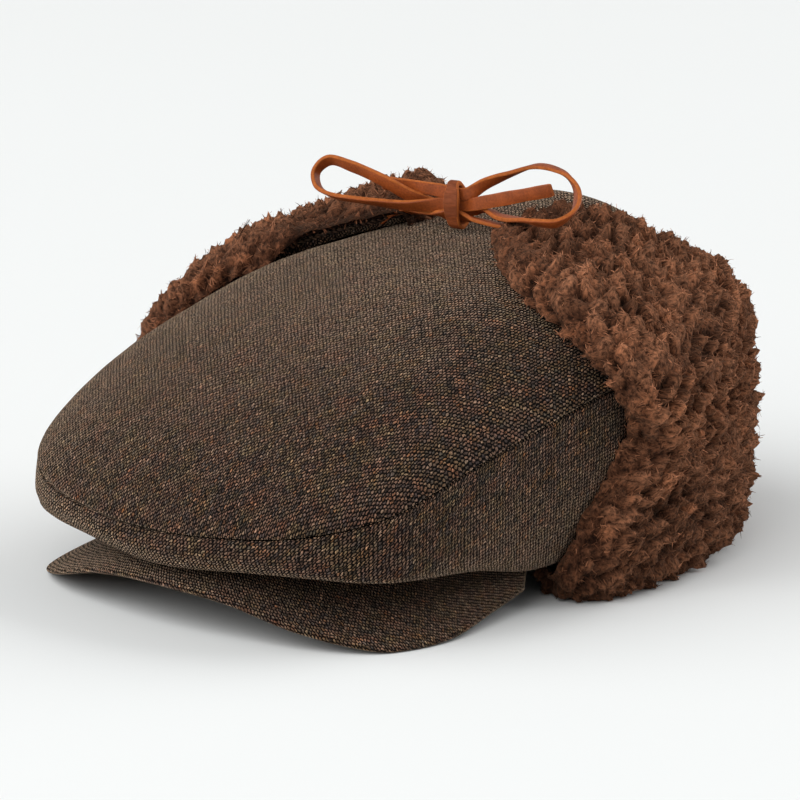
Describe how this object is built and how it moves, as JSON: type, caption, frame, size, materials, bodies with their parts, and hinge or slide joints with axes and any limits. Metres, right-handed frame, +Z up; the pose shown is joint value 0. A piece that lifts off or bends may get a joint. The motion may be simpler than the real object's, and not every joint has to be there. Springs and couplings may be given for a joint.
{
  "type": "earflap cap",
  "caption": "Flat cap of flecked tweed with a stiff peak and a wrap-round fleece flap, folded up and tied over the crown in a leather bow, hollow and open below for the head.",
  "frame": {"origin": "middle of the cap's plan on the surface it rests on, measured without the laces", "axes": "+Z up, -Y the way the peak points, +X to the wearer's left"},
  "size_m": [0.2457, 0.3057, 0.1535],
  "materials": {
    "tweed": "matt flecked weave",
    "fleece": "deep curly pile",
    "leather": "satin, raw cut edges"
  },
  "bodies": {
    "root": {"top_panel": "tweed", "side_band": "tweed", "peak": "tweed", "earflap_cloth": "tweed", "earflap_fleece": "fleece", "lace_left": "leather", "lace_right": "leather", "bow_knot": "leather"}
  },
  "joints": []
}
